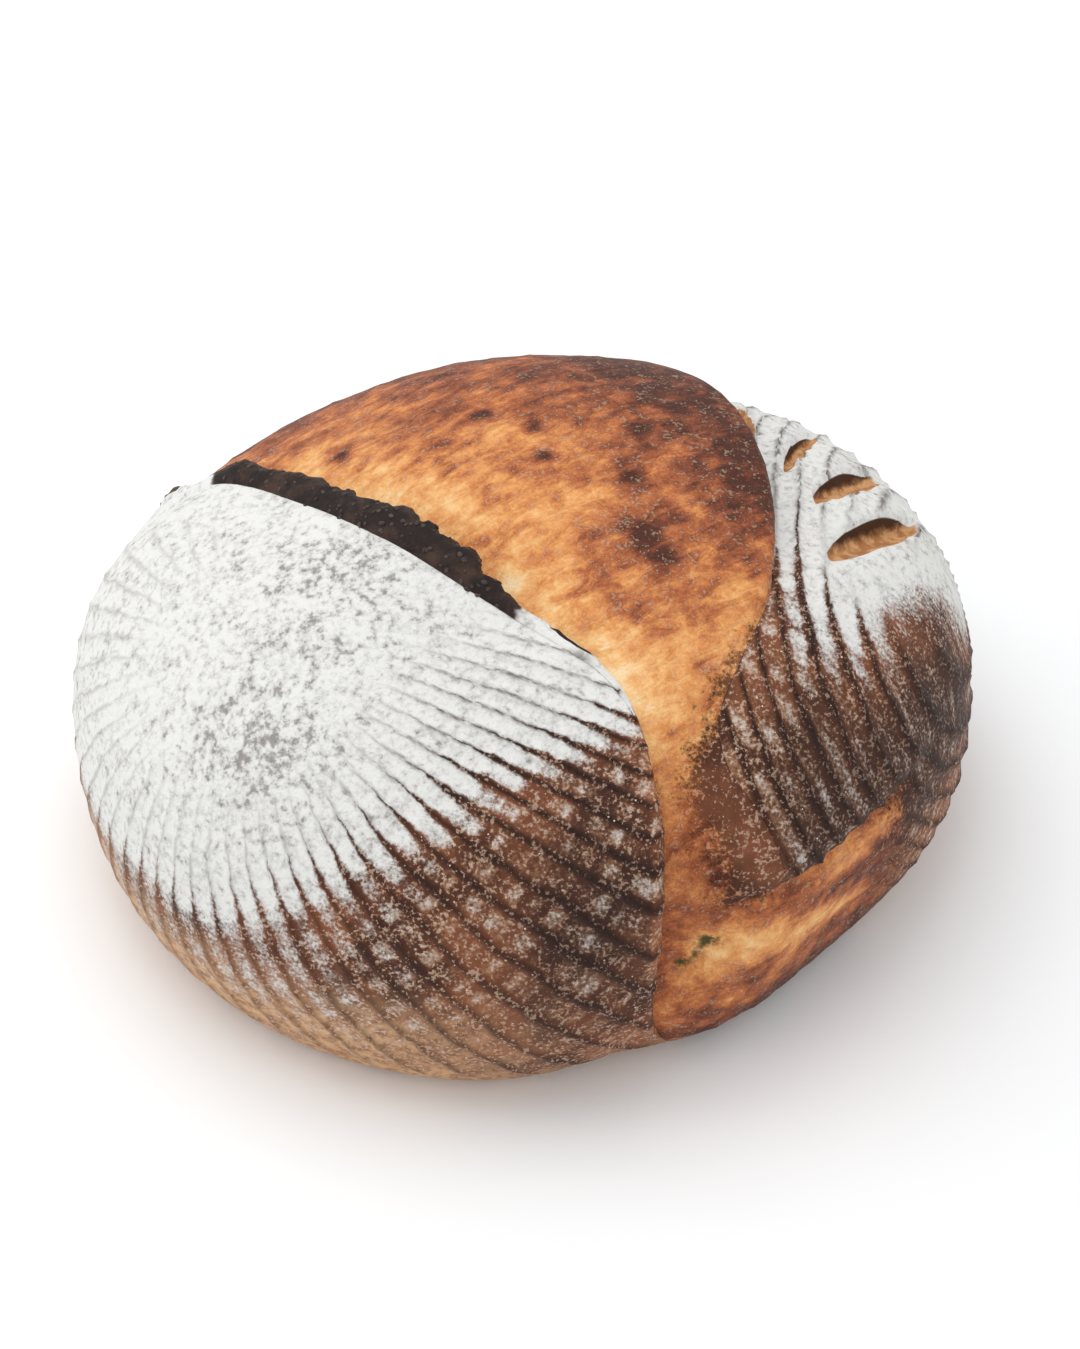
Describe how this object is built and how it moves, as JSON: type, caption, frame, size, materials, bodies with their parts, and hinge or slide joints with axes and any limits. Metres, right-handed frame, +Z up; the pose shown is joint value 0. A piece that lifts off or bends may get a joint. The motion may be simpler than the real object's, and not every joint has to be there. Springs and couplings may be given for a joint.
{
  "type": "sourdough loaf",
  "caption": "Round floured sourdough loaf, solid and uncut inside, with a raised ear, an open bloom, basket ridges, leaf cuts and a burst at the foot.",
  "frame": {"origin": "middle of the loaf's bounding box, on the plane it rests on", "axes": "+Z up from the foot, +X along the loaf's widest way from the near flank to the shoulder, -Y toward the foot of the slash"},
  "size_m": [0.258, 0.2238, 0.1316],
  "materials": {
    "crust": "baked crust dusted with flour, matte"
  },
  "bodies": {
    "root": {"loaf": "crust"}
  },
  "joints": []
}
